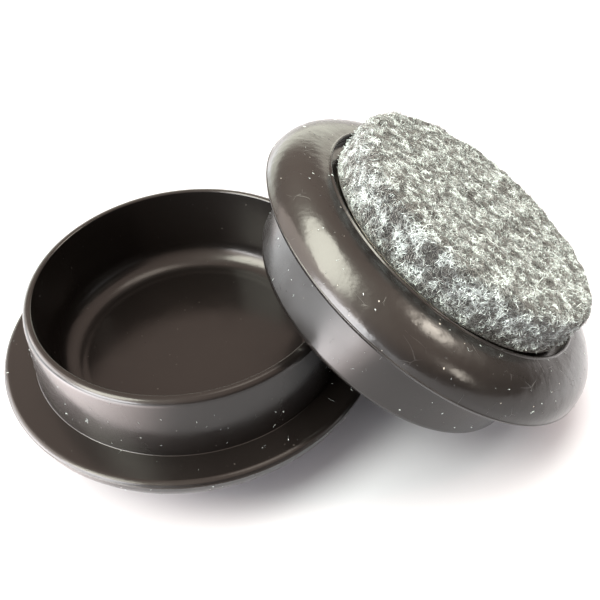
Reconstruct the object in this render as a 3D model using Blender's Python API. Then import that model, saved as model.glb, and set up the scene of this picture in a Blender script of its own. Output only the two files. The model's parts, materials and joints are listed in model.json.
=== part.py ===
"""A pair of furniture caster cups: one stands on its felt foot, the other leans upside down across its rim.

Each cup is a turned plastic shell with a felt disc stuck into a shallow pocket under its bowl.
Units are metres, +Z is up, and the origin is the centre of the standing cup's felt underside.
"""

import math

import bmesh
import bpy
import numpy as np
from mathutils import Matrix, Vector

# Well: the round recess that takes a furniture wheel or foot
BORE_RADIUS = 0.0230
BORE_DRAFT = math.radians(1.5)
WELL_DEPTH = 0.0147
WELL_FILLET = 0.0033
SEAT_MARGIN = 0.0008
SEAT_STEP = 0.0003
SEAT_STEP_RUN = 0.0007
FLOOR_THICKNESS = 0.0010

# Wall and lip
LIP_THICKNESS = 0.0014
LIP_ROUND = 0.0011
LIP_INNER_ROUND = 0.0002
WALL_DRAFT = math.radians(4.0)
WALL_FILLET = 0.0004

# Flange round the wall, and the bowl that curves under it to the felt's pocket
FLANGE_WIDTH = 0.00485
FLANGE_EDGE_ROUND = 0.0007
BOWL_WIDTH = 0.0069
BOWL_DEPTH = 0.0062
POCKET_LIP_WIDTH = 0.0005
POCKET_DEPTH = 0.0012

# Felt foot, and the adhesive film that holds it
FELT_THICKNESS = 0.0066
FELT_EDGE_ROUND = 0.0018
FELT_SIDE_CLEARANCE = 0.0010
FILM_THICKNESS = 0.0003
FILM_INSET = 0.0010
SEAT_GAP = 0.0003

# How the second cup leans on the first
LEAN_ANGLE = math.radians(35.0)
LEAN_GAP = 0.0003

# Facets round each turned piece and along its rounds
TURN_STEPS = 64
ROUND_STEPS = 4
BOWL_STEPS = 8

# Name, base colour and roughness of each material
PLASTIC = ("brown_plastic", (0.030, 0.012, 0.008), 0.30)
FELT = ("grey_felt", (0.33, 0.34, 0.33), 0.95)
FILM = ("adhesive_film", (0.72, 0.70, 0.62), 0.45)


def cup_sizes():
    """Radii and heights that the pieces share, worked outward and upward from the driving sizes."""
    pocket_roof = FELT_THICKNESS + SEAT_GAP + FILM_THICKNESS + SEAT_GAP
    pocket_lip = pocket_roof - POCKET_DEPTH
    flange = pocket_lip + BOWL_DEPTH
    seat = pocket_roof + FLOOR_THICKNESS
    floor = seat + SEAT_STEP
    rim = seat + WELL_DEPTH
    lip_radius = BORE_RADIUS + LIP_THICKNESS
    wall_foot = lip_radius + (rim - flange) * math.tan(WALL_DRAFT)
    flange_radius = wall_foot + FLANGE_WIDTH
    bowl_foot = flange_radius - BOWL_WIDTH
    pocket_radius = bowl_foot - POCKET_LIP_WIDTH
    return {
        "pocket_roof": pocket_roof,
        "pocket_lip": pocket_lip,
        "flange": flange,
        "seat": seat,
        "floor": floor,
        "rim": rim,
        "bore_foot": BORE_RADIUS - (rim - floor) * math.tan(BORE_DRAFT),
        "lip_radius": lip_radius,
        "wall_foot": wall_foot,
        "flange_radius": flange_radius,
        "bowl_foot": bowl_foot,
        "pocket_radius": pocket_radius,
        "felt_radius": pocket_radius - FELT_SIDE_CLEARANCE,
    }


def rounded(before, corner, after, radius, steps=ROUND_STEPS):
    """Points of an arc that rounds the corner between two straight runs."""
    corner = Vector(corner)
    back = (Vector(before) - corner).normalized()
    ahead = (Vector(after) - corner).normalized()
    half = back.angle(ahead) / 2
    reach = radius / math.tan(half)
    centre = corner + (back + ahead).normalized() * radius / math.sin(half)
    start = corner + back * reach - centre
    end = corner + ahead * reach - centre
    sweep = start.angle_signed(end)
    return [centre + Matrix.Rotation(-sweep * i / steps, 2) @ start for i in range(steps + 1)]


def bowl_curve(edge, foot):
    """A quarter ellipse that leaves the flange's edge upright and meets the pocket's lip flat."""
    width = edge[0] - foot[0]
    drop = edge[1] - foot[1]
    turns = [math.pi / 2 * i / BOWL_STEPS for i in range(1, BOWL_STEPS + 1)]
    return [Vector((foot[0] + width * math.cos(t), edge[1] - drop * math.sin(t))) for t in turns]


def shell_profile():
    """The shell's section, from the well's centre out to the lip, down the wall and under to the axis."""
    size = cup_sizes()
    seat_radius = size["bore_foot"] - WELL_FILLET - SEAT_MARGIN
    seat_centre = (0.0, size["seat"])
    seat_edge = (seat_radius - SEAT_STEP_RUN, size["seat"])
    step_top = (seat_radius, size["floor"])
    well_corner = (size["bore_foot"], size["floor"])
    lip_inner = (BORE_RADIUS, size["rim"])
    lip_outer = (size["lip_radius"], size["rim"])
    wall_corner = (size["wall_foot"], size["flange"])
    flange_edge = (size["flange_radius"], size["flange"])
    below_edge = (size["flange_radius"], size["pocket_lip"])
    bowl_top = (size["flange_radius"], size["flange"] - FLANGE_EDGE_ROUND)
    bowl_foot = (size["bowl_foot"], size["pocket_lip"])
    pocket_edge = (size["pocket_radius"], size["pocket_lip"])
    pocket_corner = (size["pocket_radius"], size["pocket_roof"])
    pocket_centre = (0.0, size["pocket_roof"])

    # the lip's two rounds share its thickness
    inner_round = min(LIP_INNER_ROUND, LIP_THICKNESS / 3)
    outer_round = min(LIP_ROUND, LIP_THICKNESS - inner_round)
    points = [seat_centre, seat_edge, step_top]
    points += rounded(step_top, well_corner, lip_inner, WELL_FILLET)
    points += rounded(well_corner, lip_inner, lip_outer, inner_round, 1)
    points += rounded(lip_inner, lip_outer, wall_corner, outer_round)
    points += rounded(lip_outer, wall_corner, flange_edge, WALL_FILLET, 3)
    points += rounded(wall_corner, flange_edge, below_edge, FLANGE_EDGE_ROUND, 2)
    points += bowl_curve(bowl_top, bowl_foot)
    points += [pocket_edge, pocket_corner, pocket_centre]
    return [Vector(point) for point in points]


def felt_profile():
    """The felt disc's section, with its lower edge softened."""
    radius = cup_sizes()["felt_radius"]
    top_edge = (radius, FELT_THICKNESS)
    corner = (radius, 0.0)
    centre = (0.0, 0.0)
    points = [(0.0, FELT_THICKNESS), top_edge]
    points += rounded(top_edge, corner, centre, FELT_EDGE_ROUND)
    points.append(centre)
    return [Vector(point) for point in points]


def film_profile():
    """The adhesive film's section: a thin disc between the felt and the pocket's roof."""
    bottom = FELT_THICKNESS + SEAT_GAP
    top = bottom + FILM_THICKNESS
    radius = cup_sizes()["felt_radius"] - FILM_INSET
    return [Vector(point) for point in ((0.0, top), (radius, top), (radius, bottom), (0.0, bottom))]


def turned_mesh(name, profile):
    """A closed mesh made by turning a section round Z; its first and last points lie on the axis."""
    bm = bmesh.new()
    verts = [bm.verts.new((point.x, 0.0, point.y)) for point in profile]
    edges = [bm.edges.new(pair) for pair in zip(verts, verts[1:])]
    bmesh.ops.spin(
        bm,
        geom=verts + edges,
        cent=(0.0, 0.0, 0.0),
        axis=(0.0, 0.0, 1.0),
        angle=2 * math.pi,
        steps=TURN_STEPS,
    )
    bmesh.ops.remove_doubles(bm, verts=bm.verts, dist=1e-6)
    bmesh.ops.recalc_face_normals(bm, faces=bm.faces)
    mesh = bpy.data.meshes.new(name)
    bm.to_mesh(mesh)
    bm.free()
    mesh.shade_smooth()
    mesh.set_sharp_from_angle(angle=math.radians(40))
    return mesh


def plain_material(name, colour, roughness):
    """A Principled material of one colour and roughness."""
    material = bpy.data.materials.new(name)
    material.use_nodes = True
    shader = material.node_tree.nodes["Principled BSDF"]
    shader.inputs["Base Color"].default_value = (*colour, 1.0)
    shader.inputs["Roughness"].default_value = roughness
    shader.inputs["Metallic"].default_value = 0.0
    material.diffuse_color = (*colour, 1.0)
    return material


def spread_along(profile, spacing):
    """Points along a section, none further apart than the spacing."""
    spread = []
    for start, end in zip(profile, profile[1:]):
        count = max(1, math.ceil((end - start).length / spacing))
        spread += [start.lerp(end, i / count) for i in range(count)]
    return np.array([tuple(point) for point in spread])


def ring_points(section, turns):
    """The section's points turned round Z, as an array of X, Y and Z."""
    angles = np.linspace(0.0, 2 * math.pi, turns, endpoint=False)
    radius = section[:, :1]
    height = np.repeat(section[:, 1:], turns, axis=1)
    return np.stack([radius * np.cos(angles), radius * np.sin(angles), height], axis=-1).reshape(-1, 3)


def clearance(points, section):
    """Least distance from points to a turned solid's surface, or minus one where a point is inside it."""
    flat = np.stack([np.hypot(points[:, 0], points[:, 1]), points[:, 2]], axis=-1)
    least = np.full(len(flat), np.inf)
    crossings = np.zeros(len(flat), dtype=int)
    for start, end in zip(section, np.roll(section, -1, axis=0)):
        run = end - start
        share = np.clip(((flat - start) @ run) / (run @ run), 0.0, 1.0)
        least = np.minimum(least, np.linalg.norm(flat - start - share[:, None] * run, axis=1))
        if run[1] != 0.0:
            spans = (start[1] > flat[:, 1]) != (end[1] > flat[:, 1])
            crossings += spans & (flat[:, 0] < start[0] + (flat[:, 1] - start[1]) / run[1] * run[0])
    return -1.0 if np.any(crossings % 2) else float(least.min())


def leaning_pose():
    """Pose of the second cup: turned over, with its lip on the floor and across the first cup's rim.

    It comes in along X from well clear of the first cup until only the lean gap is left between them.
    """
    profile = shell_profile()
    section = np.array([tuple(point) for point in profile])
    turn = Matrix.Rotation(math.pi + LEAN_ANGLE, 4, "Y")
    rotation = np.array(turn.to_3x3())
    lift = -(ring_points(section, TURN_STEPS) @ rotation.T)[:, 2].min()
    surface = ring_points(spread_along(profile, LEAN_GAP), 4 * TURN_STEPS) @ rotation.T
    surface += (0.0, 0.0, lift)
    beside = (surface[:, 1] >= 0.0) & (surface[:, 2] < section[:, 1].max() + LEAN_GAP)
    facing = surface[beside]
    span = 2 * np.linalg.norm(section, axis=1).max()
    step = span / 40
    clear = 1.5 * span
    while clearance(facing + (clear - step, 0.0, 0.0), section) >= LEAN_GAP:
        clear -= step
    touching = clear - step
    for _ in range(24):
        middle = (clear + touching) / 2
        if clearance(facing + (middle, 0.0, 0.0), section) >= LEAN_GAP:
            clear = middle
        else:
            touching = middle
    return Matrix.Translation((clear, 0.0, lift)) @ turn


def add_cup(prefix, pose, meshes, materials):
    """One cup under an empty at its pose: shell, adhesive film and felt pad."""
    holder = bpy.data.objects.new(f"{prefix}_cup", None)
    bpy.context.collection.objects.link(holder)
    holder.matrix_world = pose
    for piece, mesh in meshes.items():
        body = bpy.data.objects.new(f"{prefix}_{piece}", mesh.copy())
        body.data.materials.append(materials[piece])
        body.parent = holder
        bpy.context.collection.objects.link(body)


def main():
    for old in list(bpy.data.objects):
        bpy.data.objects.remove(old, do_unlink=True)
    meshes = {
        "cup_shell": turned_mesh("cup_shell", shell_profile()),
        "adhesive_film": turned_mesh("adhesive_film", film_profile()),
        "felt_pad": turned_mesh("felt_pad", felt_profile()),
    }
    materials = {
        "cup_shell": plain_material(*PLASTIC),
        "adhesive_film": plain_material(*FILM),
        "felt_pad": plain_material(*FELT),
    }
    add_cup("standing", Matrix.Identity(4), meshes, materials)
    add_cup("leaning", leaning_pose(), meshes, materials)
    bpy.context.view_layer.update()


main()
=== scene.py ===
"""Looks of a pair of furniture caster cups: dark brown moulded cups on thick grey felt feet.

Each piece is made in its cup's own frame and then set at that cup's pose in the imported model. The
cup's frame has its origin at the centre of the felt's underside, and its well opens along +Z.
Lengths are metres. A turned surface is also used unrolled: a point there is its distance along the
section from the middle of the underside, and its direction round the axis.
"""

import json
import math

import bpy
import numpy as np
from mathutils import Matrix, Quaternion, Vector, noise


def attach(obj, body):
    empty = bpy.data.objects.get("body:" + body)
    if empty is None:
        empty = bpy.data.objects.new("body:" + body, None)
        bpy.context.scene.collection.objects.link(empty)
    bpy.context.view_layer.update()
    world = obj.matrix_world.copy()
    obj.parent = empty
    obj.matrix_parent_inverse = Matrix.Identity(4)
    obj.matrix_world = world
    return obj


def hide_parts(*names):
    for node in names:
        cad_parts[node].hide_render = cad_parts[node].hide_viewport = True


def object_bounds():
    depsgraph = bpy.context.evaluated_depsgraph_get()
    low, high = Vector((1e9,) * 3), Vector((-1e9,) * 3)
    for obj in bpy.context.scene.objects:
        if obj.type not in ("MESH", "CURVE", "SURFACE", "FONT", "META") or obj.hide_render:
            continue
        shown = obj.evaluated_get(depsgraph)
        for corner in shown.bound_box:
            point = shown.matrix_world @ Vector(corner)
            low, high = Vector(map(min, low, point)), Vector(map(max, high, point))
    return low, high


# Camera
CAMERA_PLACE = (0.01401, -0.08961, 0.10130)
CAMERA_AIM = (0.01784, 0.00455, 0.01250)
CAMERA_ROLL = math.radians(-2.73)
LENS_MM = 46.24
SENSOR_MM = 36.0
CLIP_RANGE = (0.001, 20.0)

# Lights: each one's direction from the cups as azimuth and elevation in degrees, its distance, its width
# and height, its roll in degrees, its radiance and colour, and the piece it leaves out
LIGHT_AIM = (0.028, 0.0, 0.018)
SOFTBOX_COLOUR = (1.0, 1.0, 0.86)
LAMP_COLOUR = (1.0, 0.92, 0.80)
WARM_WALL_COLOUR = (1.0, 0.87, 0.79)
STRIP_COLOUR = (0.98, 0.98, 1.0)
LIGHTS = {
    "softbox": {
        "towards": (-170, 75.5), "distance": 1.04, "size": (0.70, 1.50), "roll": 30,
        "radiance": 18.0, "colour": SOFTBOX_COLOUR, "skips": "standing_moulded_cup",
    },
    "window": {
        "towards": (-154, 45), "distance": 0.9, "size": (0.46, 0.56), "roll": 0,
        "radiance": 15.0, "colour": SOFTBOX_COLOUR, "skips": "leaning_moulded_cup",
    },
    "overhead": {
        "towards": (20, 80), "distance": 0.9, "size": (0.34, 0.34), "roll": 0,
        "radiance": 3.5, "colour": LAMP_COLOUR, "skips": "leaning_moulded_cup",
    },
    "warm_wall": {
        "towards": (-168, 28), "distance": 0.8, "size": (1.50, 0.62), "roll": 0,
        "radiance": 4.0, "colour": WARM_WALL_COLOUR, "skips": None,
    },
    "low_strip": {
        "towards": (-143, 11), "distance": 0.8, "size": (0.64, 0.34), "roll": 0,
        "radiance": 20.0, "colour": STRIP_COLOUR, "skips": None,
    },
    "left_strip": {
        "towards": (172, 17), "distance": 0.8, "size": (0.56, 0.38), "roll": 0,
        "radiance": 8.0, "colour": STRIP_COLOUR, "skips": "leaning_moulded_cup",
    },
    "lamp": {
        "towards": (8, 35.2), "distance": 0.9, "size": (0.48, 0.10), "roll": -33,
        "radiance": 28.0, "colour": LAMP_COLOUR, "skips": None,
    },
    "spark": {
        "towards": (-45, 21), "distance": 0.9, "size": (0.24, 0.13), "roll": 24,
        "radiance": 15.0, "colour": LAMP_COLOUR, "skips": "standing_moulded_cup",
    },
}

# Room: a dim dome whose radiance grows with height, and a bright band low down behind the cups
ROOM_COLOUR = (1.0, 0.77, 0.66)
ROOM_RADIANCE = (0.14, 1.35)
ROOM_HEIGHT = 0.8
HORIZON_WAY = (-0.17, 0.98, 0.0)
HORIZON_SPAN = (0.55, 0.85)
HORIZON_TOP = (0.30, 0.22)
HORIZON_RADIANCE = 3.2

# Floor: white paper that glows a little as painted light on it, most in a painted pool of light to the front
# left, brighter towards the left, weakly in one pool to the right, and least under the cups as painted shade
FLOOR_HALF_WIDTH = 3.0
FLOOR_DROP = 0.00005
PAPER_TONES = ((0.199, 0.208, 0.234), (0.217, 0.228, 0.256))
PAPER_TONE_LENGTH = 0.05
PAPER_GLOW = 0.28
FRONT_COLOUR = (1.0, 0.80, 0.76)
SHADE_CENTRE = (0.022, 0.0, 0.0)
SHADE_REACH = (0.046, 0.030, 1.0)
SHADE_EDGE = (0.8, 1.2)
SIDE_SPAN = (-0.02, -0.12)
SIDE_GLOW = 3.0
SIDE_COLOUR = (0.95, 0.98, 1.0)
POOL_COLOUR = (1.0, 0.94, 0.94)
POOLS = (
    {"centre": (-0.077, -0.063, 0.0), "radii": (0.075, 0.024), "glow": 13.0},
    {"centre": (0.110, 0.018, 0.0), "radii": (0.070, 0.030), "glow": 0.8},
)

# Moulded cups
CUP_TURN_STEPS = 224
BEAD_STEPS = 6
PARTING_HALF_WIDTH = 0.00012
PARTING_RISE = 0.00009
WALL_RUN = 0.005
STEP_RISE = 0.00010
FILLET_RISE = 0.0043
FILLET_STEPS = 12
CORNER_TURN = math.radians(35)
CORNER_CUT = 0.00008
CUT_SHARE = 0.25
CUT_ROUNDS = 2
PATTERN_SHIFT = (0.013, -0.021, 0.017)

# Moulded plastic: tones, marks and gloss, with the heights of its relief in bump units
BROWN_TONES = ((0.0022, 0.0018, 0.0016), (0.0042, 0.0033, 0.0029))
BROWN_LENGTH = 0.012
DUST_COLOUR = (0.30, 0.29, 0.27)
DUST = {"spacing": 0.0012, "size": 0.00014, "share": 0.30}
PITS = {"spacing": 0.0013, "size": 0.00018, "share": 0.45}
SPECK_DRIFT = {"length": 0.0003, "amount": 0.0003}
SPECK_LEAST = 0.35
SPECK_CORE = 0.6
SCRATCHES = {"spacing": 0.0042, "width": 0.00005}
SCRATCH_DRIFT = {"length": 0.006, "amount": 0.002}
SCRATCH_PIECE = 0.7
SCRATCH_BREAKS = (0.52, 0.66)
UNDERSIDE_TILT = (0.05, -0.15)
UPPER_SIDE_SHARE = 0.15
HAZE_LENGTH = 0.005
HAZE_SPAN = (0.3, 0.7)
GLOSS_ROUGHNESS = (0.16, 0.24)
MARK_ROUGHNESS = 0.3
BUMP_UNIT = 0.00001
RIPPLE_LENGTH = 0.0018
RIPPLE_HEIGHT = 5.0
PEEL_LENGTH = 0.0005
PEEL_HEIGHT = 0.5
DUST_HEIGHT = 2.0
PIT_HEIGHT = -7.0
SCRATCH_HEIGHT = -1.5

# Felt discs
FELT_TURN_STEPS = 300
FELT_SPACING = 0.00036
FELT_SOFT_EDGE = 0.0018
FELT_EDGE_STEPS = 8
LUMP_LENGTHS = (0.0036, 0.0013, 0.0005)
LUMP_HEIGHTS = (0.00035, 0.00022, 0.00014)
LUMP_SHIFT = (0.31, 0.17, 0.23)
SIDE_DRAW = 0.00012
FELT_SHIFTS = {"standing": (0.0, 0.0, 0.0), "leaning": (-0.00022, 0.0, 0.0)}

# Felt's colours: charcoal and pale clumps, and a web of pale fibres whose nets have a spacing and a drift
CLUMP_LENGTH = 0.0016
CLUMP_SHARE = 0.55
PATCH_LENGTH = 0.0042
PATCH_SHARE = 0.45
CLUMP_SPAN = (0.43, 0.58)
GROUND_TONES = ((0.004, 0.0045, 0.005), (0.026, 0.029, 0.030))
WEB_COLOUR = (0.167, 0.191, 0.200)
WEB_NETS = ((0.0009, 0.0006), (0.0006, 0.0005))
WEB_LINE = (0.10, 0.02)
WEB_HEIGHT = 0.00012
PALE_TONES = ((0.060, 0.071, 0.075), (0.60, 0.69, 0.70))
DARK_TONES = ((0.004, 0.0045, 0.005), (0.022, 0.024, 0.025))
CLUMP_PULL = 0.6
SHADE_SPAN = (0.28, 1.32)
FIBRE_ROUGHNESS = (0.75, 0.9)

# Felt fibres: in each layer their number, their liking for pale clumps, their arch, how deep they start
# and the share with a loose end
FIBRE_LAYERS = {
    "dark_fibres": {"count": 13600, "liking": -1.5, "arch": 0.00012, "sink": 0.00004, "loose": 0.05},
    "pale_fibres": {"count": 11400, "liking": 1.5, "arch": 0.00012, "sink": 0.00004, "loose": 0.0},
    "fuzz": {"count": 5600, "liking": 1.1, "arch": 0.00020, "sink": 0.0, "loose": 0.2},
}
RESTING_SHARE = 0.4
RESTING_EDGE = 0.85
FIBRE_POINTS = 3
FIBRE_SIDES = 3
FIBRE_LENGTH = (0.0004, 0.0010)
FIBRE_RADIUS = (0.000018, 0.000034)
FIBRE_CURL = 800.0
FIBRE_TIP = 0.45
FIBRE_TRIES = 4
LOOSE_END = 0.0005
LOOSE_GAIN = 2.0
LOOSE_BEND = 1.5
WANDER = 0.25

# Lint shed on the plastic: curled fibres, and flakes that are short and thick
LINT_KINDS = {
    "lint": {"count": 110, "length": (0.0003, 0.0014), "radius": (0.000013, 0.000028), "curl": 2200.0},
    "flakes": {"count": 115, "length": (0.0001, 0.0004), "radius": (0.000022, 0.000048), "curl": 900.0},
}
LINT_POINTS = 8
LINT_LIFT = 0.00004
LINT_MARGIN = 0.0015
POCKET_DROP = 0.0001

# Adhesive film
FILM_TONES = ((0.58, 0.55, 0.45), (0.74, 0.72, 0.64))
CLOUD_LENGTH = 0.004
CLOUD_SPAN = (0.3, 0.7)
FILM_ROUGHNESS = (0.35, 0.55)
BUBBLES = {"spacing": 0.0022, "size": 0.0007, "share": 0.4}
BUBBLE_COLOUR = (0.82, 0.81, 0.76)
BUBBLE_HEIGHT = 0.00003

# Places nearer than SAME_PLACE count as one, and TINY keeps a length from being divided by nothing
SAME_PLACE = 1e-6
TINY = 1e-12


def section_of(solid):
    """Half section of a turned CAD piece: (radius, height) rows from its top's middle to its underside's."""
    mesh = solid.data
    points = [tuple(round(c, 7) for c in vertex.co) for vertex in mesh.vertices]
    in_plane = {i for i, p in enumerate(points) if abs(p[1]) < SAME_PLACE and p[0] > 0.0}
    links = {}
    for edge in mesh.edges:
        if in_plane.issuperset(edge.vertices):
            first, second = [(points[i][0], points[i][2]) for i in edge.vertices]
            if first != second:
                links.setdefault(first, set()).add(second)
                links.setdefault(second, set()).add(first)
    here = max((p for p, near in links.items() if len(near) == 1), key=lambda p: p[1])
    walk = [(0.0, here[1]), here]
    ahead = links[here]
    while ahead:
        here = ahead.pop()
        ahead = links[here] - {walk[-1]}
        walk.append(here)
    walk.append((0.0, here[1]))
    return np.array(walk)


def eased_well(section):
    """The section with the step round the well's floor made shallow and the fillet drawn out to meet it."""
    foot = int(np.argmax(np.diff(section[:, 1]) > WALL_RUN))
    low, high = section[foot], section[foot + 1]
    step = np.array([section[2, 0], section[1, 1] + STEP_RISE])
    wall = low + (high - low) * (step[1] + FILLET_RISE - low[1]) / (high[1] - low[1])
    turns = np.linspace(0.0, math.pi / 2, FILLET_STEPS + 1)
    fillet = step + (wall - step) * np.stack([np.sin(turns), 1.0 - np.cos(turns)], axis=-1)
    return np.concatenate([section[:2], fillet, section[foot + 1:]])


def sharp_foot(section):
    """The section with a crisp corner where the outer wall meets the flange."""
    runs = np.diff(section, axis=0)
    wall = int(np.argmax(runs[:, 1] < -WALL_RUN))
    low = section[wall + 1]
    flange = wall + 1 + int(np.argmax(np.abs(runs[wall + 1:, 1]) < SAME_PLACE))
    corner = low + runs[wall] * (section[flange, 1] - low[1]) / runs[wall, 1]
    return np.concatenate([section[:wall + 1], [corner], section[flange + 1:]])


def beaded(section):
    """The section with the flat lip round the felt's pocket drawn up into a half-round bead."""
    lowest = section[:, 1].min()
    first = int(np.argmax(section[:, 1] < lowest + SAME_PLACE))
    outer, inner = section[first], section[first + 1]
    centre, half = (outer + inner) / 2, (outer[0] - inner[0]) / 2
    turns = np.linspace(0.0, math.pi, BEAD_STEPS + 1)[1:-1]
    bead = centre + half * np.stack([np.cos(turns), -np.sin(turns)], axis=-1)
    return np.concatenate([section[:first + 1], bead, section[first + 1:]])


def parted(section):
    """The section with the mould's parting line as a fine ridge round the flange's widest edge."""
    widest = int(section[:, 0].argmax())
    radius, height = section[widest]
    turns = np.linspace(0.0, math.pi, BEAD_STEPS + 1)
    ridge = np.stack(
        [radius + PARTING_RISE * np.sin(turns), height + PARTING_HALF_WIDTH * np.cos(turns)], axis=-1
    )
    return np.concatenate([section[:widest], ridge, section[widest + 1:]])


def cut_corners(section):
    """The section with each corner cut to two points: closely where it is sharp, wide along an arc."""
    kept = [section[0]]
    for before, here, after in zip(section, section[1:], section[2:]):
        back, ahead = before - here, after - here
        back_length, ahead_length = np.linalg.norm(back), np.linalg.norm(ahead)
        turn = math.pi - math.acos(np.clip(back @ ahead / (back_length * ahead_length), -1.0, 1.0))
        cut = CUT_SHARE * min(back_length, ahead_length)
        if turn > CORNER_TURN:
            cut = min(cut, CORNER_CUT)
        kept.append(here + back * cut / back_length)
        kept.append(here + ahead * cut / ahead_length)
    kept.append(section[-1])
    return np.array(kept)


def section_normals(section):
    """Outward unit normals at a section's points, the longer of two runs counting more."""
    runs = np.diff(section, axis=0)
    sideways = np.stack([-runs[:, 1], runs[:, 0]], axis=-1)
    normals = np.zeros_like(section)
    normals[:-1] += sideways
    normals[1:] += sideways
    normals[0, 0] = normals[-1, 0] = 0.0
    return normals / np.linalg.norm(normals, axis=1)[:, None]


def spread(section, spacing):
    """The section with points added so that none are further apart than the spacing."""
    rows = []
    for start, end in zip(section, section[1:]):
        count = max(1, math.ceil(np.linalg.norm(end - start) / spacing))
        rows += [start + (end - start) * i / count for i in range(count)]
    return np.array(rows + [section[-1]])


def turned(values, steps):
    """Rows of (radius, height) turned round Z, as an array of section point, step and X, Y, Z."""
    angles = np.arange(steps) * 2 * math.pi / steps
    radius, height = values[:, :1], values[:, 1:]
    return np.stack(
        [radius * np.cos(angles), radius * np.sin(angles), np.repeat(height, steps, axis=1)], axis=-1
    )


def turned_mesh(name, rings, normals=None):
    """A closed mesh from turned rings, whose first and last ring are points on the axis."""
    count, steps = rings.shape[:2]
    verts = [rings[0, 0], *rings[1:-1].reshape(-1, 3), rings[-1, 0]]
    last = len(verts) - 1
    here = np.arange(steps)
    after = (here + 1) % steps
    faces = [(0, 1 + j, 1 + k) for j, k in zip(here, after)]
    for row in range(count - 3):
        upper = 1 + row * steps
        lower = upper + steps
        faces += zip(upper + here, lower + here, lower + after, upper + after)
    rim = 1 + (count - 3) * steps
    faces += [(rim + j, last, rim + k) for j, k in zip(here, after)]
    mesh = bpy.data.meshes.new(name)
    mesh.from_pydata(verts, [], [tuple(int(i) for i in face) for face in faces])
    mesh.shade_smooth()
    if normals is not None:
        directions = [normals[0, 0], *normals[1:-1].reshape(-1, 3), normals[-1, 0]]
        mesh.normals_split_custom_set_from_vertices(directions)
    return mesh


def unroll(section):
    """A turned surface unrolled from the middle of its underside: reach along it, points and normals."""
    rows = section[::-1]
    normals = section_normals(section)[::-1]
    reach = np.concatenate([[0.0], np.cumsum(np.linalg.norm(np.diff(rows, axis=0), axis=1))])
    return {"reach": reach, "rows": rows, "normals": normals}


def on_surface(surface, flat):
    """Points and normals, in the cup's frame, of points given on an unrolled surface."""
    reach = np.linalg.norm(flat, axis=-1)
    round_axis = flat / np.maximum(reach, TINY)[..., None]
    radius, height, outward, upward = [
        np.interp(reach, surface["reach"], column)
        for column in (*surface["rows"].T, *surface["normals"].T)
    ]
    points = np.concatenate([radius[..., None] * round_axis, height[..., None]], axis=-1)
    normals = np.concatenate([outward[..., None] * round_axis, upward[..., None]], axis=-1)
    return points, normals / np.linalg.norm(normals, axis=-1)[..., None]


def felt_relief(points, normals, seed):
    """How far the felt's lumps lift its surface at each point. Its side is drawn in a little."""
    shift = Vector(LUMP_SHIFT) * seed
    lift = -SIDE_DRAW * np.linalg.norm(normals[..., :2], axis=-1)
    flat = points.reshape(-1, 3)
    for length, height in zip(LUMP_LENGTHS, LUMP_HEIGHTS):
        lumps = [height * noise.noise(Vector(p) / length + shift) for p in flat]
        lift += np.array(lumps).reshape(lift.shape)
    return lift


def curly_walks(rng, starts, lengths, points, curl):
    """Paths that wander over a flat sheet from their starts, each with its own length and curl."""
    count = len(starts)
    step = lengths[:, None] / (points - 1)
    heading = rng.uniform(0.0, 2 * math.pi, (count, 1))
    bend = rng.normal(0.0, curl, (count, 1)) * step
    wander = rng.normal(0.0, WANDER, (count, points - 1)).cumsum(axis=1)
    headings = heading + bend * np.arange(points - 1) + wander
    moves = np.stack([np.cos(headings), np.sin(headings)], axis=-1) * step[..., None]
    walks = np.concatenate([np.zeros((count, 1, 2)), moves.cumsum(axis=1)], axis=1)
    return starts[:, None, :] + walks - walks.mean(axis=1, keepdims=True)


def strand_mesh(name, paths, normals, radii):
    """One mesh of closed tubes along paths, thinner at their ends."""
    count, points = paths.shape[:2]
    along = np.gradient(paths, axis=1)
    along /= np.linalg.norm(along, axis=-1, keepdims=True) + TINY
    side = np.cross(along, normals)
    side /= np.linalg.norm(side, axis=-1, keepdims=True) + TINY
    lift = np.cross(side, along)
    taper = FIBRE_TIP + (1.0 - FIBRE_TIP) * np.sqrt(np.sin(np.linspace(0.0, math.pi, points)))
    width = radii[:, None, None] * taper[None, :, None]
    rings = []
    for i in range(FIBRE_SIDES):
        turn = 2 * math.pi * i / FIBRE_SIDES
        rings.append(paths + width * (math.cos(turn) * lift + math.sin(turn) * side))
    verts = np.stack(rings, axis=2).reshape(-1, 3)
    corner = np.arange(count * points * FIBRE_SIDES).reshape(count, points, FIBRE_SIDES)
    turned_on = np.roll(corner, -1, axis=2)
    walls = np.stack(
        [corner[:, :-1], turned_on[:, :-1], turned_on[:, 1:], corner[:, 1:]], axis=-1
    ).reshape(-1, 4)
    faces = walls.tolist() + corner[:, 0, ::-1].tolist() + corner[:, -1].tolist()
    mesh = bpy.data.meshes.new(name)
    mesh.from_pydata(verts, [], faces)
    mesh.shade_smooth()
    return mesh


def node(tree, kind, inputs=None, **settings):
    """A new shader node, its properties set and its sockets given values or links."""
    made = tree.nodes.new(kind)
    for name, value in settings.items():
        setattr(made, name, value)
    for name, value in (inputs or {}).items():
        if isinstance(value, bpy.types.NodeSocket):
            tree.links.new(value, made.inputs[name])
        else:
            made.inputs[name].default_value = value
    return made


def blank_material(name):
    """A new material's node tree, its Principled shader, and the material."""
    material = bpy.data.materials.new(name)
    material.use_nodes = True
    tree = material.node_tree
    return tree, tree.nodes["Principled BSDF"], material


def math_node(tree, operation, first, second):
    """The value of one sum, product or comparison of two sockets or numbers."""
    return node(tree, "ShaderNodeMath", {0: first, 1: second}, operation=operation).outputs[0]


def ramp(tree, value, low, high, to_low=0.0, to_high=1.0):
    """A value spread smoothly from one range to another, and held at its ends."""
    made = node(
        tree,
        "ShaderNodeMapRange",
        {0: value, 1: low, 2: high, 3: to_low, 4: to_high},
        interpolation_type="SMOOTHSTEP",
    )
    return made.outputs[0]


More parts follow.
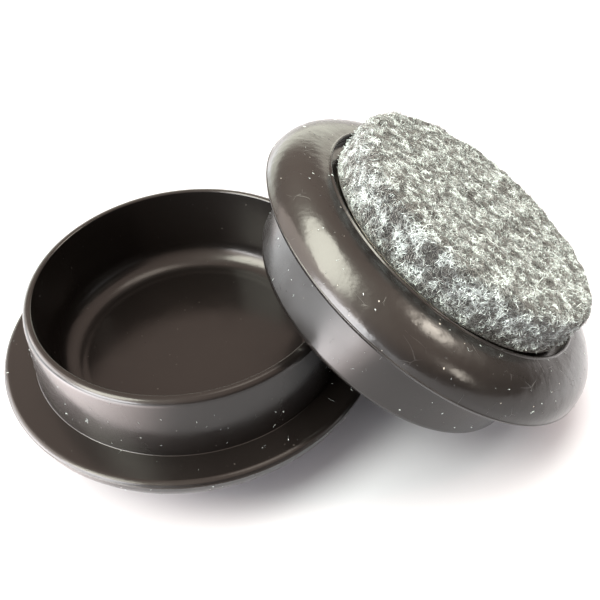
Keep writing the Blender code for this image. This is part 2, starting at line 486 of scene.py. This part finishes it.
def mixed(tree, share, first, second):
    """A colour between two colours."""
    made = node(tree, "ShaderNodeMix", data_type="RGBA")
    for index, value in ((0, share), (6, first), (7, second)):
        if isinstance(value, bpy.types.NodeSocket):
            tree.links.new(value, made.inputs[index])
        else:
            made.inputs[index].default_value = value if index == 0 else (*value, 1.0)
    return made.outputs[2]


def local_coordinates(tree, offset):
    """Coordinates in the piece's own frame, shifted so that two pieces don't share one pattern."""
    source = node(tree, "ShaderNodeTexCoord").outputs["Object"]
    return node(tree, "ShaderNodeMapping", {"Vector": source, "Location": offset}).outputs["Vector"]


def noise_value(tree, place, length, detail=2.0, distortion=0.0):
    """Smooth noise whose lumps are about as long as the length given."""
    made = node(
        tree,
        "ShaderNodeTexNoise",
        {"Vector": place, "Scale": 1.0 / length, "Detail": detail, "Distortion": distortion},
    )
    return made.outputs[0]


def warped(tree, place, length, amount):
    """Coordinates pushed about by noise."""
    push = node(tree, "ShaderNodeTexNoise", {"Vector": place, "Scale": 1.0 / length, "Detail": 1.0})
    centred = node(
        tree, "ShaderNodeVectorMath", {0: push.outputs["Color"], 1: (0.5, 0.5, 0.5)}, operation="SUBTRACT"
    )
    scaled = node(
        tree, "ShaderNodeVectorMath", {0: centred.outputs[0], "Scale": amount}, operation="SCALE"
    )
    return node(tree, "ShaderNodeVectorMath", {0: place, 1: scaled.outputs[0]}).outputs[0]


def specks(tree, place, spacing, size, share):
    """Scattered dots: one in each cell of the spacing, in the share of the cells given."""
    cells = node(tree, "ShaderNodeTexVoronoi", {"Vector": place, "Scale": 1.0 / spacing})
    luck = node(tree, "ShaderNodeSeparateColor", {0: cells.outputs["Color"]})
    chosen = math_node(tree, "LESS_THAN", luck.outputs[0], share)
    width = ramp(tree, luck.outputs[1], 0.0, 1.0, SPECK_LEAST * size / spacing, size / spacing)
    nearness = math_node(tree, "DIVIDE", cells.outputs["Distance"], width)
    dot = ramp(tree, nearness, 1.0, SPECK_CORE)
    return math_node(tree, "MULTIPLY", dot, chosen)


def scratches(tree, place, spacing, width):
    """A broken net of hairline scratches."""
    cells = node(
        tree,
        "ShaderNodeTexVoronoi",
        {"Vector": place, "Scale": 1.0 / spacing},
        feature="DISTANCE_TO_EDGE",
    )
    line = ramp(tree, cells.outputs["Distance"], width / spacing, 0.0)
    broken = ramp(tree, noise_value(tree, place, spacing * SCRATCH_PIECE), *SCRATCH_BREAKS)
    return math_node(tree, "MULTIPLY", line, broken)


def plastic_material(name, offset):
    """Dark brown moulded plastic: satin, softly rippled, with pits, hairline scratches and dust."""
    tree, shader, material = blank_material(name)
    place = local_coordinates(tree, offset)
    tone = noise_value(tree, place, BROWN_LENGTH, detail=4.0)
    brown = mixed(tree, tone, *BROWN_TONES)
    facing = node(tree, "ShaderNodeTexCoord").outputs["Normal"]
    tilt = node(tree, "ShaderNodeSeparateXYZ", {0: facing}).outputs["Z"]
    underside = ramp(tree, tilt, *UNDERSIDE_TILT, UPPER_SIDE_SHARE, 1.0)
    drifted = warped(tree, place, **SPECK_DRIFT)
    dust = math_node(tree, "MULTIPLY", specks(tree, drifted, **DUST), underside)
    pits = math_node(tree, "MULTIPLY", specks(tree, drifted, **PITS), underside)
    lines = scratches(tree, warped(tree, place, **SCRATCH_DRIFT), **SCRATCHES)
    lines = math_node(tree, "MULTIPLY", lines, underside)
    tree.links.new(mixed(tree, dust, brown, DUST_COLOUR), shader.inputs["Base Color"])

    haze = noise_value(tree, place, HAZE_LENGTH, detail=5.0)
    marks = math_node(tree, "MAXIMUM", math_node(tree, "MAXIMUM", dust, pits), lines)
    smooth = ramp(tree, haze, *HAZE_SPAN, *GLOSS_ROUGHNESS)
    dulled = math_node(tree, "ADD", smooth, math_node(tree, "MULTIPLY", marks, MARK_ROUGHNESS))
    tree.links.new(dulled, shader.inputs["Roughness"])
    shader.inputs["Specular IOR Level"].default_value = 0.37
    shader.inputs["Coat Weight"].default_value = 0.26
    shader.inputs["Coat Roughness"].default_value = 0.48

    ripple = math_node(tree, "MULTIPLY", noise_value(tree, place, RIPPLE_LENGTH), RIPPLE_HEIGHT)
    ripple = math_node(tree, "MULTIPLY", ripple, underside)
    peel = math_node(tree, "MULTIPLY", noise_value(tree, place, PEEL_LENGTH), PEEL_HEIGHT)
    height = math_node(tree, "ADD", ripple, peel)
    for mark, rise in ((dust, DUST_HEIGHT), (pits, PIT_HEIGHT), (lines, SCRATCH_HEIGHT)):
        height = math_node(tree, "ADD", height, math_node(tree, "MULTIPLY", mark, rise))
    bump = node(tree, "ShaderNodeBump", {"Height": height, "Distance": BUMP_UNIT, "Strength": 1.0})
    tree.links.new(bump.outputs[0], shader.inputs["Normal"])
    tree.links.new(bump.outputs[0], shader.inputs["Coat Normal"])
    shader.inputs["IOR"].default_value = 1.5
    return material


def felt_clumps(tree, place):
    """From 0 in the felt's charcoal patches to 1 in its pale ones, the same in all its layers."""
    small = math_node(tree, "MULTIPLY", noise_value(tree, place, CLUMP_LENGTH, detail=3.0), CLUMP_SHARE)
    large = math_node(tree, "MULTIPLY", noise_value(tree, place, PATCH_LENGTH), PATCH_SHARE)
    return ramp(tree, math_node(tree, "ADD", small, large), *CLUMP_SPAN)


def felt_material(name):
    """The felt's matted body: a dark ground with a web of pale fibres caught in it."""
    tree, shader, material = blank_material(name)
    place = local_coordinates(tree, (0.0, 0.0, 0.0))
    clumps = felt_clumps(tree, place)
    ground = mixed(tree, clumps, *GROUND_TONES)
    web = 0.0
    for spacing, drift in WEB_NETS:
        cells = node(
            tree,
            "ShaderNodeTexVoronoi",
            {"Vector": warped(tree, place, spacing, drift), "Scale": 1.0 / spacing},
            feature="DISTANCE_TO_EDGE",
        )
        line = ramp(tree, cells.outputs["Distance"], *WEB_LINE)
        web = math_node(tree, "MAXIMUM", web, line)
    pale = mixed(tree, math_node(tree, "MULTIPLY", web, clumps), ground, WEB_COLOUR)
    tree.links.new(pale, shader.inputs["Base Color"])
    shader.inputs["Roughness"].default_value = 0.95
    shader.inputs["Sheen Weight"].default_value = 0.3
    shader.inputs["Sheen Roughness"].default_value = 0.5
    shader.inputs["Specular IOR Level"].default_value = 0.2
    bump = node(tree, "ShaderNodeBump", {"Height": web, "Distance": WEB_HEIGHT, "Strength": 1.0})
    tree.links.new(bump.outputs[0], shader.inputs["Normal"])
    return material


def fibre_material(name, dark, pale):
    """Felt fibres between two tones: each has its own shade, and all are darker in the charcoal patches."""
    tree, shader, material = blank_material(name)
    place = local_coordinates(tree, (0.0, 0.0, 0.0))
    own = node(tree, "ShaderNodeNewGeometry").outputs["Random Per Island"]
    pull = math_node(tree, "MULTIPLY", felt_clumps(tree, place), CLUMP_PULL)
    shade = ramp(tree, math_node(tree, "ADD", pull, own), *SHADE_SPAN)
    tree.links.new(mixed(tree, shade, dark, pale), shader.inputs["Base Color"])
    rough = ramp(tree, shade, 0.0, 1.0, *FIBRE_ROUGHNESS)
    tree.links.new(rough, shader.inputs["Roughness"])
    shader.inputs["Sheen Weight"].default_value = 0.2
    shader.inputs["Specular IOR Level"].default_value = 0.25
    return material


def film_material():
    """Clear adhesive film on a pale liner, with trapped bubbles."""
    tree, shader, material = blank_material("adhesive_film_finish")
    place = local_coordinates(tree, (0.0, 0.0, 0.0))
    cloud = noise_value(tree, place, CLOUD_LENGTH, detail=4.0)
    bubbles = specks(tree, place, **BUBBLES)
    tint = mixed(tree, cloud, *FILM_TONES)
    tree.links.new(mixed(tree, bubbles, tint, BUBBLE_COLOUR), shader.inputs["Base Color"])
    tree.links.new(ramp(tree, cloud, *CLOUD_SPAN, *FILM_ROUGHNESS), shader.inputs["Roughness"])
    bump = node(tree, "ShaderNodeBump", {"Height": bubbles, "Distance": BUBBLE_HEIGHT, "Strength": 1.0})
    tree.links.new(bump.outputs[0], shader.inputs["Normal"])
    return material


def floor_material():
    """Plain white paper with a barely uneven tone, and painted light on it: a glow, brightest in pools and
    to the left, cut away under the cups as painted shade.
    """
    tree, shader, material = blank_material("pale_floor")
    place = local_coordinates(tree, (0.0, 0.0, 0.0))
    tone = noise_value(tree, place, PAPER_TONE_LENGTH, detail=3.0)
    tree.links.new(mixed(tree, tone, *PAPER_TONES), shader.inputs["Base Color"])
    shader.inputs["Roughness"].default_value = 0.9
    shader.inputs["Specular IOR Level"].default_value = 0.1

    # Painted shade: the glow fades to nothing inside an ellipse under the cups.
    away = node(tree, "ShaderNodeVectorMath", {0: place, 1: SHADE_CENTRE}, operation="SUBTRACT")
    scaled = node(tree, "ShaderNodeVectorMath", {0: away.outputs[0], 1: SHADE_REACH}, operation="DIVIDE")
    shade = node(tree, "ShaderNodeVectorMath", {0: scaled.outputs[0]}, operation="LENGTH").outputs["Value"]
    # Painted light: the glow grows towards the left side, and its colour goes from the front's pinkish tint
    # to a bluish one there.
    side = node(tree, "ShaderNodeSeparateXYZ", {0: place}).outputs["X"]
    aside = ramp(tree, side, *SIDE_SPAN)
    glow = ramp(tree, shade, *SHADE_EDGE, 0.0, PAPER_GLOW)
    glow = math_node(tree, "ADD", glow, math_node(tree, "MULTIPLY", aside, SIDE_GLOW))
    tint = mixed(tree, aside, FRONT_COLOUR, SIDE_COLOUR)
    # Painted pools of light: extra glow round each pool's centre, in a pale pink tint.
    for pool in POOLS:
        reach = node(tree, "ShaderNodeVectorMath", {0: place, 1: pool["centre"]}, operation="DISTANCE")
        near = ramp(tree, reach.outputs["Value"], *pool["radii"])
        glow = math_node(tree, "ADD", glow, math_node(tree, "MULTIPLY", near, pool["glow"]))
        tint = mixed(tree, near, tint, POOL_COLOUR)
    tree.links.new(tint, shader.inputs["Emission Color"])
    tree.links.new(glow, shader.inputs["Emission Strength"])
    return material


def cup_pose(mount_name):
    """Pose of the cup whose felt foot is the mount named, keeping its Y axis."""
    mount = next(m for m in frame["record"]["mounts"] if m["name"] == mount_name)
    up = -Vector(mount["axis"])
    across = Vector((0.0, 1.0, 0.0))
    pose = Matrix((across.cross(up), across, up)).transposed().to_4x4()
    pose.translation = mount["pos_m"]
    return pose


def add_piece(name, mesh, material, pose, body):
    """A visible piece at its cup's pose, riding on that cup's body."""
    piece = bpy.data.objects.new(name, mesh)
    bpy.context.scene.collection.objects.link(piece)
    mesh.materials.append(material)
    piece.matrix_world = pose
    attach(piece, body)
    return piece


def cup_mesh(name, section):
    """The moulded cup, turned finely from its smoothed section."""
    normals = section_normals(section)
    rings = turned(section, CUP_TURN_STEPS)
    return turned_mesh(name, rings, turned(normals, CUP_TURN_STEPS))


def felt_section(solid_section):
    """The felt disc's section with a softer lower edge than its plain solid has."""
    radius = solid_section[:, 0].max()
    top = solid_section[:, 1].max()
    turns = np.linspace(0.0, math.pi / 2, FELT_EDGE_STEPS + 1)
    edge = np.stack(
        [
            radius - FELT_SOFT_EDGE * (1.0 - np.cos(turns)),
            FELT_SOFT_EDGE * (1.0 - np.sin(turns)),
        ],
        axis=-1,
    )
    rows = [[(0.0, top), (radius, top)], edge, [(0.0, 0.0)]]
    return spread(np.concatenate(rows), FELT_SPACING)


def felt_mesh(name, section, seed, rests):
    """The felt disc with its lumps. One that rests on the floor is pressed flat below."""
    rings = turned(section, FELT_TURN_STEPS)
    normals = turned(section_normals(section), FELT_TURN_STEPS)
    buried = section[:, 1] > section[:, 1].max() - FELT_SPACING / 2
    lift = felt_relief(rings, normals, seed) * ~buried[:, None]
    moved = rings + normals * lift[..., None]
    moved[0] = moved[0].mean(axis=0)
    moved[-1] = moved[-1].mean(axis=0)
    if rests:
        moved[..., 2] = np.maximum(moved[..., 2], 0.0)
    return turned_mesh(name, moved)


def fibre_mesh(name, section, seed, rests, layer):
    """One layer of fibres over the felt's face and side. On a felt that rests, only round its edge."""
    rng = np.random.default_rng((seed, layer["count"]))
    surface = unroll(section)
    radius = section[:, 0].max()
    side_reach = surface["reach"][-1] - radius - FELT_SPACING
    inner_reach = RESTING_EDGE * radius if rests else 0.0
    count = round(layer["count"] * (RESTING_SHARE if rests else 1.0))
    tries = FIBRE_TRIES * count
    reach = np.sqrt(rng.uniform(inner_reach ** 2, side_reach ** 2, tries))
    angle = rng.uniform(0.0, 2 * math.pi, tries)
    starts = np.stack([reach * np.cos(angle), reach * np.sin(angle)], axis=-1)
    clump = np.array([noise.noise(Vector((x, y, 0.0)) / CLUMP_LENGTH) for x, y in starts])
    starts = starts[rng.random(tries) < 0.5 + layer["liking"] * clump][:count]
    lengths = rng.uniform(*FIBRE_LENGTH, len(starts))
    flat = curly_walks(rng, starts, lengths, FIBRE_POINTS, FIBRE_CURL)
    points, normals = on_surface(surface, flat)
    arch = rng.exponential(layer["arch"], (len(starts), 1))
    loose = rng.random((len(starts), 1)) < layer["loose"]
    along = np.linspace(0.0, 1.0, FIBRE_POINTS)
    bowed = np.sin(math.pi * along) * arch
    sprung = along ** LOOSE_BEND * np.minimum(LOOSE_GAIN * arch, LOOSE_END)
    lift = felt_relief(points, normals, seed) + np.where(loose, sprung, bowed) - layer["sink"]
    paths = points + normals * lift[..., None]
    if rests:
        paths[..., 2] = np.maximum(paths[..., 2], FIBRE_RADIUS[1])
    radii = rng.uniform(*FIBRE_RADIUS, len(starts))
    return strand_mesh(name, paths, normals, radii)


def lint_mesh(name, section, seed, kind):
    """Lint of one kind lying on the plastic, from near the felt's pocket round to the rim."""
    rng = np.random.default_rng((seed, kind["count"]))
    surface = unroll(section)
    heights = surface["rows"][:, 1]
    pocket = int(np.argmax(heights < heights[0] - POCKET_DROP))
    low = surface["reach"][pocket] + LINT_MARGIN
    high = surface["reach"][heights.argmax()] - LINT_MARGIN
    reach = rng.uniform(low, high, kind["count"])
    angle = rng.uniform(0.0, 2 * math.pi, kind["count"])
    starts = np.stack([reach * np.cos(angle), reach * np.sin(angle)], axis=-1)
    shortest, longest = kind["length"]
    lengths = shortest + (longest - shortest) * rng.random(kind["count"]) ** 2
    radii = rng.uniform(*kind["radius"], kind["count"])
    flat = curly_walks(rng, starts, lengths, LINT_POINTS, kind["curl"])
    points, normals = on_surface(surface, flat)
    wave = np.abs(np.sin(np.linspace(0.0, 2 * math.pi, LINT_POINTS))) * LINT_LIFT
    paths = points + normals * (wave[None, :] + radii[:, None] / 2)[..., None]
    return strand_mesh(name, paths, normals, radii)


def dress_cup(prefix, foot, seed, rests):
    """All of one cup's pieces."""
    body = f"{prefix}_cup"
    pose = cup_pose(foot)
    plastic = plastic_material(f"{prefix}_plastic", Vector(PATTERN_SHIFT) * seed)
    shell = cup_mesh(f"{prefix}_moulded_cup", CUP_SECTION)
    cup = add_piece(f"{prefix}_moulded_cup", shell, plastic, pose, body)
    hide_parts(f"{prefix}_cup_shell")

    felt_pose = pose @ Matrix.Translation(FELT_SHIFTS[prefix])
    disc = felt_mesh(f"{prefix}_felt_disc", FELT_SECTION, seed, rests)
    felt = add_piece(f"{prefix}_felt_disc", disc, FELT_BODY, felt_pose, body)
    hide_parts(f"{prefix}_felt_pad")
    for kind, layer in FIBRE_LAYERS.items():
        name = f"{prefix}_{kind}"
        fibres = fibre_mesh(name, FELT_SECTION, seed, rests, layer)
        wool = DARK_FIBRE if layer["liking"] < 0 else PALE_FIBRE
        add_piece(name, fibres, wool, felt_pose, body)

    for kind, lint in LINT_KINDS.items():
        name = f"{prefix}_{kind}"
        add_piece(name, lint_mesh(name, CUP_SECTION, seed, lint), PALE_FIBRE, pose, body)

    film = frame["nodes"][f"{prefix}_adhesive_film"]
    film.data.materials.clear()
    film.data.materials.append(FILM_FINISH)


def add_camera():
    """The camera at the photograph's viewing angle."""
    lens = bpy.data.cameras.new("camera")
    lens.lens = LENS_MM
    lens.sensor_width = SENSOR_MM
    lens.sensor_fit = "HORIZONTAL"
    lens.clip_start, lens.clip_end = CLIP_RANGE
    camera = bpy.data.objects.new("camera", lens)
    bpy.context.scene.collection.objects.link(camera)
    place = Vector(CAMERA_PLACE)
    look = (Vector(CAMERA_AIM) - place).to_track_quat("-Z", "Y").to_matrix()
    camera.matrix_world = Matrix.Translation(place) @ (look @ Matrix.Rotation(CAMERA_ROLL, 3, "Z")).to_4x4()
    bpy.context.scene.camera = camera


def add_light(name, towards, distance, size, roll, radiance, colour, skips):
    """A soft oval light that faces the cups. It may leave out one piece."""
    light = bpy.data.lights.new(name, "AREA")
    light.shape = "ELLIPSE"
    light.size, light.size_y = size
    area = math.pi / 4 * size[0] * size[1]
    light.energy = radiance * math.pi * area
    light.color = colour
    lamp = bpy.data.objects.new(name, light)
    bpy.context.scene.collection.objects.link(lamp)
    turn, rise = [math.radians(angle) for angle in towards]
    out = Vector((math.cos(turn) * math.cos(rise), math.sin(turn) * math.cos(rise), math.sin(rise)))
    lamp.location = Vector(LIGHT_AIM) + out * distance
    lamp.rotation_mode = "QUATERNION"
    lamp.rotation_quaternion = out.to_track_quat("Z", "Y") @ Quaternion((0.0, 0.0, 1.0), math.radians(roll))
    lamp.visible_camera = False
    if skips:
        skipped = bpy.data.collections.new(f"{name}_skips")
        skipped.objects.link(bpy.data.objects[skips])
        skipped.collection_objects[0].light_linking.link_state = "EXCLUDE"
        lamp.light_linking.receiver_collection = skipped


def add_world():
    """A dim warm room, lighter overhead, with a bright band along the horizon behind the cups."""
    world = bpy.data.worlds.new("room")
    bpy.context.scene.world = world
    world.use_nodes = True
    tree = world.node_tree
    way = node(tree, "ShaderNodeTexCoord").outputs["Generated"]
    height = node(tree, "ShaderNodeSeparateXYZ", {0: way}).outputs["Z"]
    along = node(tree, "ShaderNodeVectorMath", {0: way, 1: HORIZON_WAY}, operation="DOT_PRODUCT")
    ahead = ramp(tree, along.outputs["Value"], *HORIZON_SPAN)
    band = math_node(tree, "MULTIPLY", ramp(tree, height, *HORIZON_TOP), ahead)
    room = ramp(tree, height, 0.0, ROOM_HEIGHT, *ROOM_RADIANCE)
    strength = math_node(tree, "ADD", room, math_node(tree, "MULTIPLY", band, HORIZON_RADIANCE))
    background = tree.nodes["Background"]
    tree.links.new(mixed(tree, band, ROOM_COLOUR, SOFTBOX_COLOUR), background.inputs["Color"])
    tree.links.new(strength, background.inputs["Strength"])


def add_floor():
    """A plain pale floor under the cups."""
    half = FLOOR_HALF_WIDTH
    low = cad_box[0].z - FLOOR_DROP
    corners = [(-half, -half, low), (half, -half, low), (half, half, low), (-half, half, low)]
    mesh = bpy.data.meshes.new("floor")
    mesh.from_pydata(corners, [], [(0, 1, 2, 3)])
    mesh.materials.append(floor_material())
    floor = bpy.data.objects.new("floor", mesh)
    bpy.context.scene.collection.objects.link(floor)


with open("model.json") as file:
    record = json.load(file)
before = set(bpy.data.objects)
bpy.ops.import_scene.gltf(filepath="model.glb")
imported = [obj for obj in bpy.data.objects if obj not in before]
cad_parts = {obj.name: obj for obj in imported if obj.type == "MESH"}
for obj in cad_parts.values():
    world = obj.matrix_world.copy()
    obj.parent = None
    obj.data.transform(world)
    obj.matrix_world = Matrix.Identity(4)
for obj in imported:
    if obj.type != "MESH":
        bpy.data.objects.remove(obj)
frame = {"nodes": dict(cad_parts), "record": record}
cad_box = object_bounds()

CUP_SECTION = section_of(frame["nodes"]["standing_cup_shell"])
for form in (eased_well, sharp_foot, beaded, parted):
    CUP_SECTION = form(CUP_SECTION)
for _ in range(CUT_ROUNDS):
    CUP_SECTION = cut_corners(CUP_SECTION)
FELT_SECTION = felt_section(section_of(frame["nodes"]["standing_felt_pad"]))

FELT_BODY = felt_material("felt_body")
PALE_FIBRE = fibre_material("pale_fibre", *PALE_TONES)
DARK_FIBRE = fibre_material("dark_fibre", *DARK_TONES)
FILM_FINISH = film_material()

add_camera()
add_floor()
add_world()
dress_cup("standing", "felt_foot", 1, True)
dress_cup("leaning", "leaning_felt_foot", 2, False)

for name, settings in LIGHTS.items():
    add_light(name, **settings)

view = bpy.context.scene.view_settings
view.view_transform = "Standard"
view.look = "None"
